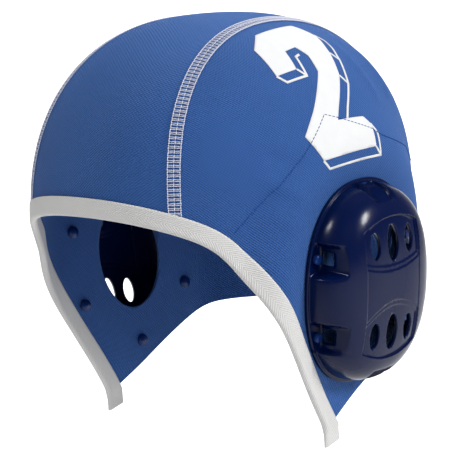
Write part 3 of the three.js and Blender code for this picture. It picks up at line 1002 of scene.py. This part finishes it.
def face_centres(bm):
    return np.array([face.calc_center_median()[:] for face in bm.faces]) / mm


def delete_faces(bm, doomed):
    """Deletes the faces that a list of true and false marks, one mark for each face."""
    bmesh.ops.delete(bm, geom=[face for face, gone in zip(bm.faces, doomed) if gone], context="FACES")


def open_windows(bm):
    """The square hole behind each peg, in the scoop's back wall."""
    centres = face_centres(bm)
    hole = np.zeros(len(centres), bool)
    for angle, faces in scoops:
        away = centres[:, 1:] - peg_at(angle)
        out, along = facing(faces)
        behind = -(away @ out)
        hole |= (np.abs(away @ along) < window_half) & (behind > window_near) & (behind < window_far)
    hole &= (centres[:, 0] > window_foot) & (centres[:, 0] < window_top)
    delete_faces(bm, hole)


# %% [markdown]
# Slots and sunk fields need edges where the grid has none. A knife cut makes them: each short piece
# of the outline bisects only the faces that it runs through. After that the faces inside a slot can
# go, and those inside a field can sink. Only the top of the guard is cut, not its sides.

# %% Knife cuts
top_side = 12


def is_crossed(face, start, way, length):
    """Whether a straight cut of a given length, seen along the guard's depth, runs through a face."""
    aways = [vert.co - start for vert in face.verts]
    spots = [(away.dot(way), way.y * away.z - way.z * away.y) for away in aways]
    marks = []
    for (mark, side), (next_mark, next_side) in zip(spots, spots[1:] + spots[:1]):
        if (side > 0) != (next_side > 0):
            marks.append(mark + (next_mark - mark) * side / (side - next_side))
    return bool(marks) and max(marks) > -0.00001 and min(marks) < length + 0.00001


def knife(bm, outline):
    """Cuts the guard's top along a closed outline of points behind and up, straight along its depth."""
    centres = face_centres(bm)
    near = (np.abs(depth_in(centres[:, 1:], outline)) < 2.5) & (centres[:, 0] > top_side)
    pool = {face for face, close in zip(bm.faces, near) if close}
    for start, end in zip(outline, np.roll(outline, -1, axis=0)):
        middle, along = Vector((0, *(start + end) / 2)) * mm, Vector((0, *(end - start))) * mm
        reach = along.length / 2 + 1.5 * mm
        close = []
        for face in pool:
            spot = face.calc_center_median()
            if math.hypot(spot.y - middle.y, spot.z - middle.z) < reach:
                if is_crossed(face, middle - along / 2, along.normalized(), along.length):
                    close.append(face)
        edges = {edge for face in close for edge in face.edges}
        verts = {vert for face in close for vert in face.verts}
        cut = bmesh.ops.bisect_plane(
            bm, geom=[*close, *edges, *verts], dist=1e-6, plane_co=middle,
            plane_no=Vector((0, -along.z, along.y)).normalized(),
        )["geom_cut"]
        pool |= {face for item in cut if isinstance(item, bmesh.types.BMEdge) for face in item.link_faces}


def depth_in(points, outline):
    """How deep points lie inside a closed outline: negative outside it."""
    start, end = outline, np.roll(outline, -1, axis=0)
    along = end - start
    away = points[:, None, :] - start[None]
    share = np.clip((away * along).sum(2) / (along * along).sum(1), 0, 1)
    apart = np.linalg.norm(away - share[..., None] * along, axis=2).min(1)
    crosses = (start[None, :, 1] > points[:, None, 1]) != (end[None, :, 1] > points[:, None, 1])
    slope = np.where(along[:, 1] == 0, 1e-9, along[:, 1])
    reach = start[:, 0] + (points[:, None, 1] - start[:, 1]) * along[:, 0] / slope
    inside = (crosses & (points[:, None, 0] < reach)).sum(1) % 2 == 1
    return np.where(inside, apart, -apart)


# %% [markdown]
# Each vent field is straight at its sides and bowed on its inner and outer edge. Along its inner edge
# runs a narrow ledge, so two lines show there. Between them the two fields bound a middle band, which
# lies a trace lower than the dome beside it.

# %% Outlines of slots and fields
def slot_outline(behind, up, length, height):
    turns = np.linspace(0, 2 * math.pi, 29)[:-1]
    return np.column_stack([behind + length / 2 * np.cos(turns), up + height / 2 * np.sin(turns)])


field_half, field_outer, outer_bow = 19.0, 27.4, 4.8
inner_edges = {1: (13.2, -3.2), -1: (15.2, -7.4)}
slot_apart, slot_level, middle_slot, side_slot = 11.8, 20.3, (8.0, 16.5), (6.3, 12.2)


def bowed(across, level, bow):
    return level + bow * (1 - (across / field_half) ** 2)


def field_outline(side, inset=0.0, ledge=0.0):
    across = np.linspace(inset - field_half, field_half - inset, 15)
    low = np.column_stack([across, side * (bowed(across, *inner_edges[side]) + inset - ledge)])
    high = np.column_stack([across, side * (bowed(across, field_outer, outer_bow) - inset)])
    return np.vstack([low, high[::-1]])


def band_outline(inset=0.0):
    across = np.linspace(inset - field_half, field_half - inset, 15)
    top = np.column_stack([across, bowed(across, field_outer, outer_bow) - inset])
    return np.vstack([top, -top])


slots = []
for side in (1, -1):
    for column in (-1, 0, 1):
        slots.append((slot_apart * column, slot_level * side, *(side_slot if column else middle_slot)))


# %% Vent fields and slots
def sink(bm, outline, depth, soft):
    points = places(bm)
    move = depth * smooth(depth_in(points[:, 1:], outline) / soft)
    move[points[:, 0] < top_side] = 0
    for vert, step in zip(bm.verts, move):
        vert.co.x -= step * mm


def dress_guard(bm):
    soft, band_sink, field_sink, ledge_width = 0.66, 0.25, 0.42, 2.3
    steps = [(band_outline, band_sink)]
    for side in (1, -1):
        for ledge in (ledge_width, 0.0):
            steps.append((functools.partial(field_outline, side=side, ledge=ledge), field_sink))
    for outline, _ in steps:
        for inset in np.linspace(0.0, soft, 4):
            knife(bm, outline(inset=inset))
    for slot in slots:
        knife(bm, slot_outline(*slot))
    for outline, depth in steps:
        sink(bm, outline(), depth, soft)
    bmesh.ops.remove_doubles(bm, verts=bm.verts, dist=0.00002)
    centres = face_centres(bm)
    hole = np.zeros(len(centres), bool)
    for slot in slots:
        hole |= (depth_in(centres[:, 1:], slot_outline(*slot)) > 0) & (centres[:, 0] > top_side)
    delete_faces(bm, hole)


guard = guard_skin()
open_windows(guard)
dress_guard(guard)
place(guard, out_of_guard(places(guard)))
bmesh.ops.recalc_face_normals(guard, faces=guard.faces)
if sum(face.normal.x * face.calc_area() for face in guard.faces) < 0:
    bmesh.ops.reverse_faces(guard, faces=guard.faces)

# %% [markdown]
# Moulded guards are glossy and very dark blue. The gloss is even, with only the faintest waviness
# from the mould, so bump and roughness vary slowly and by very little.

# %% Finish of the guards
def plastic_look(name, color, roughness):
    look, tree, shader = new_look(name, color, roughness, Specular_IOR_Level=0.2, IOR=1.5)
    slow, fine = mottled(tree, 0.018), mottled(tree, 0.0012)
    paint(tree, shader, slow, scaled(color, 0.9), scaled(color, 1.1))
    tree.links.new(math_node(tree, "MULTIPLY_ADD", fine, 0.08, roughness - 0.04), shader.inputs["Roughness"])
    emboss(tree, shader, slow, 0.0004, 0.25)
    return look


guard_wall = 1.8
navy_gloss = plastic_look("guard_plastic", (0.0006, 0.0045, 0.036), 0.2)
for side, bm in both_sides(guard):
    shell = finish_piece(f"ear_shell_{side}", bm, navy_gloss)
    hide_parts(f"ear_guard_{side}")
    thicken(shell, guard_wall)

# %% [markdown]
# ## The pegs
# Each peg is a turned shape, so its half profile is spun once round its axis: washer, shank and a
# round head with a soft edge.

# %% The pegs
def peg():
    profile = [
        (0, -2.5), (2.8, -2.5), (2.8, -1.5), (1.1, -1.5), (1.1, 2.4), (2.1, 2.4), (2.3, 2.6), (2.3, 3.9),
        (2.15, 4.3), (1.75, 4.55), (1.0, 4.62), (0, 4.62),
    ]
    bm = bmesh.new()
    verts, edges = chain(bm, [(height * mm, 0, radius * mm) for radius, height in profile])
    bmesh.ops.spin(
        bm, geom=verts + edges, cent=(0, 0, 0), axis=(1, 0, 0), dvec=(0, 0, 0), angle=2 * math.pi, steps=24,
        use_merge=True, use_normal_flip=False, use_duplicate=False,
    )
    bmesh.ops.remove_doubles(bm, verts=bm.verts, dist=0.000002)
    bmesh.ops.recalc_face_normals(bm, faces=bm.faces)
    return bm


blue_gloss = plastic_look("peg_plastic", (0.003, 0.018, 0.105), 0.22)
for index, (angle, _) in enumerate(scoops):
    bm = peg()
    place(bm, out_of_guard(places(bm) + [0, *peg_at(angle)]))
    for side, part in both_sides(bm):
        piece = finish_piece(f"peg_{side}_{index + 1}", part, blue_gloss)
        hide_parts(f"guard_peg_{side}_{index + 1}")

# %% [markdown]
# ## The stitched line of the inner patch
# A patch inside the cloth carries the guard. Outside, only its line of blue stitches shows. It climbs
# from the cheek to a corner above the guard and falls away to the rear.

# %% The patch stitches
def side_at(behind, level):
    """The place on the left side at a distance behind and a level, as far out as the form goes."""
    origin = np.column_stack([0 * behind, behind, level])
    return cast(origin, np.tile([1.0, 0.0, 0.0], (len(behind), 1)))


patch_corners = np.array([
    (-59.5, -88.2), (-51.1, -78.2), (-42.2, -69.1), (-30.4, -58.9), (-23.9, -52.9), (-11.0, -41.0),
    (-4.0, -43.0), (15.2, -49.3), (23.1, -53.3), (52.1, -62.3), (66.0, -71.0),
])


def patch_stitches():
    marks = by_length(patch_corners)
    lengths = np.linspace(0, marks[-1], 400)
    line = side_at(*[np.interp(lengths, marks, patch_corners[:, k]) for k in (0, 1)])
    length = by_length(line)[-1]
    bm = bmesh.new()
    pitch, half, low, high, radius = 2.1, 0.75, 0.1, 0.16, 0.21
    for count in range(int(length / pitch)):
        here = 0.4 + count * pitch
        add_thread(bm, (here, 0, low), (here + half, 0, high), radius)
        add_thread(bm, (here + half, 0, high), (here + 2 * half, 0, low), radius)
    bmesh.ops.scale(bm, vec=(mm, mm, mm), verts=bm.verts)
    return wrap(bm, line)


for side, bm in both_sides(patch_stitches()):
    finish_piece(f"patch_stitches_{side}", bm, blue_thread)

# %% [markdown]
# ## The number
# Players' caps carry a number on each side. This is a plain block numeral with a drop shade drawn as
# thin lines. It is drawn flat, behind along x and up along y in millimetres, cut into a fine net so
# that it can bend, and then laid on the cloth.

# %% The numeral drawn flat
numeral = [
    (-26, 46), (-26, 63), (-17.5, 72), (9, 76), (15, 67), (13.5, 54), (9, 41), (-4.5, 20.5), (12.5, 21),
    (16.5, 17.5), (17, 7), (-19, 4), (-25, 16), (-16.5, 26), (-3, 44), (-2, 53), (-5, 59), (-12.5, 57.5),
    (-14, 47),
]
shade_lines = [
    [(15, 67), (18.2, 62.8), (16.7, 49.8), (12.2, 36.8), (1.5, 20.6)],
    [(16.5, 17.5), (19.8, 13.3), (20.3, 2.8), (-15.6, -0.2), (-19, 4)],
    [(17, 7), (20.3, 2.8)],
    [(-26, 46), (-22.7, 41.8), (-10.7, 42.8), (-9.4, 53.4), (-6.5, 54.4)],
    [(-14, 47), (-10.7, 42.8)],
    [(13.5, 54), (16.7, 49.8)],
    [(9, 41), (12.2, 36.8)],
]
line_width, number_foot, mm_per_degree, right_shift = 1.15, 18.9, 1.571, 3


def add_line(bm, points):
    """A flat line of even width: its first side is drawn, and extruded to the other side."""
    points = np.array(points, float)
    ways = unit(np.diff(points, axis=0))
    sides = np.column_stack([-ways[:, 1], ways[:, 0]])
    mitres = np.vstack([sides[:1], sides[:-1] + sides[1:], sides[-1:]])
    lengths = np.concatenate([[1], 2 / (mitres[1:-1] ** 2).sum(1), [1]]) if len(points) > 2 else np.ones(2)
    offset = mitres * lengths[:, None] * line_width / 2
    edges = chain(bm, [(*spot, 0) for spot in points - offset])[1]
    for vert in extruded(bm, edges):
        gaps = [(Vector((*spot, 0)) - vert.co).length for spot in points - offset]
        vert.co = Vector((*(points + offset)[gaps.index(min(gaps))], 0))


def numeral_flat():
    bm = bmesh.new()
    outline, edges = chain(bm, [(*spot, 0) for spot in numeral])
    edges.append(bm.edges.new((outline[-1], outline[0])))
    bmesh.ops.triangle_fill(bm, edges=edges, use_beauty=True)
    for line in shade_lines:
        add_line(bm, line)
    for axis, low, high in ((0, -27, 22), (1, -1, 77)):
        for spot in np.arange(low, high, 1.5):
            normal, centre = [0, 0, 0], [0, 0, 0]
            normal[axis], centre[axis] = 1, spot
            geom = bm.verts[:] + bm.edges[:] + bm.faces[:]
            bmesh.ops.bisect_plane(bm, geom=geom, dist=1e-5, plane_co=centre, plane_no=normal)
    bmesh.ops.triangulate(bm, faces=bm.faces)
    return bm


def lay_number(bm, flip):
    flat = np.array([vert.co[:2] for vert in bm.verts])
    way = -1 if flip else 1
    behind = flat[:, 0] * way - (right_shift if flip else 0)
    turn = np.radians(number_foot + flat[:, 1] / mm_per_degree)
    origin = np.column_stack([0 * behind, behind, np.full(len(behind), hub[2])])
    form = cast(origin, np.column_stack([np.cos(turn), 0 * turn, np.sin(turn)]))
    place(bm, on_cloth(form, 0.1))
    if flip:
        bmesh.ops.scale(bm, vec=(-1, 1, 1), verts=bm.verts)
    bmesh.ops.recalc_face_normals(bm, faces=bm.faces)
    if sum(face.normal.x * way for face in bm.faces) < 0:
        bmesh.ops.reverse_faces(bm, faces=bm.faces)
    return bm


# %% [markdown]
# The print is a thin film of white ink that sinks into the knit, so a faint fine grain still shows
# in it.

# %% Finish of the print, and the two numbers
def ink_look():
    white = (0.6, 0.605, 0.61)
    look, tree, shader = new_look("number_ink", white, 0.7)
    paint(tree, shader, mottled(tree, 0.006), scaled(white, 0.95), scaled(white, 1.04))
    emboss(tree, shader, mottled(tree, 0.0009), 0.00012, 0.6)
    return look


ink = ink_look()
for side in ("left", "right"):
    number = finish_piece(f"number_{side}", lay_number(numeral_flat(), side == "right"), ink)
    thicken(number, 0.12, 1)

# %% [markdown]
# ## The studio
# A pale sweep of paper runs under the cap and, three metres off, up behind it, so that a camera fits
# between the two. The light is large and soft, with two small panels that draw the bright marks on the
# glossy guard.

# %% Floor and backdrop
paper_width, paper_level = 10.0, -0.42


def paper():
    bm = bmesh.new()
    path = [(-3.0, 0), (2.3, 0), (2.7, 0.04), (3.0, 0.16), (3.2, 0.36), (3.3, 0.7), (3.3, 3.4)]
    edges = chain(bm, [(-paper_width / 2, y, z) for y, z in path])[1]
    bmesh.ops.translate(bm, vec=(paper_width, 0, 0), verts=extruded(bm, edges))
    bmesh.ops.rotate(bm, cent=(0, 0, 0), matrix=Matrix.Rotation(math.radians(45), 3, "Z"), verts=bm.verts)
    bmesh.ops.translate(bm, vec=(0, 0, paper_level), verts=bm.verts)
    bmesh.ops.recalc_face_normals(bm, faces=bm.faces)
    make_object("studio_paper", bm, new_look("studio_paper", (0.8, 0.8, 0.8), 0.9)[0])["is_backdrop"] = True


paper()

# %% Camera
def way_to(turn, rise):
    """The way to a place at a turn from the cap's front and a rise, both in degrees."""
    turn, rise = math.radians(turn), math.radians(rise)
    return Vector((math.sin(turn) * math.cos(rise), -math.cos(turn) * math.cos(rise), math.sin(rise)))


azimuth, roll = 45.08, math.radians(2.11)
back, right = way_to(azimuth, 7.90), way_to(azimuth + 90, 0)
up = back.cross(right)
camera_x = right * math.cos(roll) - up * math.sin(roll)
camera_y = right * math.sin(roll) + up * math.cos(roll)
camera_turn = Matrix((camera_x, camera_y, back)).transposed().to_4x4()
aim = Vector((0, 0, -0.0938)) - camera_x * 0.00023 - camera_y * 0.00299
away, sensor, pixels_per_mm, frame_pixels = 1300, 36, 2.1757, 452
camera_data = bpy.data.cameras.new("camera")
camera_data.sensor_width = sensor
camera_data.lens = sensor * pixels_per_mm * away / frame_pixels
camera = add_to_scene("camera", camera_data)
camera.matrix_world = Matrix.Translation(aim + back * away * mm) @ camera_turn
bpy.context.scene.camera = camera
print("camera at", [round(value, 3) for value in camera.location])

# %% Lights
heart = Vector((0, 0, -0.09))


def soft_light(name, turn, rise, distance, power, width, height, target=heart, shows=True):
    """A soft panel, placed by the side that it comes from, how high it stands and how far off it is."""
    data = bpy.data.lights.new(name, "AREA")
    data.shape, data.size, data.size_y = "ELLIPSE", width, height
    data.energy = power
    light = add_to_scene(name, data)
    light.location = way_to(turn, rise) * distance + heart
    light.rotation_euler = (Vector(target) - light.location).to_track_quat("-Z", "Y").to_euler()
    light.visible_glossy = shows


soft_light("side", 110, 26, 1.5, 14, 0.26, 0.4)
soft_light("spark", -20, 44, 1.6, 8, 0.3, 0.3)
soft_light("fill", 66, 30, 1.9, 14.5, 1.0, 1.0, shows=False)
soft_light("top", 140, 70, 1.8, 13, 1.2, 1.2, shows=False)
soft_light("backdrop", -135, 40, 2.3, 80, 1.8, 1.8, (-1.7, 1.7, -0.3), shows=False)
world = bpy.data.worlds.new("studio")
world.use_nodes = True
background = world.node_tree.nodes["Background"]
background.inputs["Color"].default_value = (1, 1, 1, 1)
background.inputs["Strength"].default_value = 0.16
bpy.context.scene.world = world
bpy.context.scene.view_settings.view_transform = "Standard"

# %% Sizes, and the end
scene_box = [list(corner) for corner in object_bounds()]
for name, box in (("cad", cad_box), ("scene", scene_box)):
    print(name, [[round(value * 1000, 1) for value in corner] for corner in box])
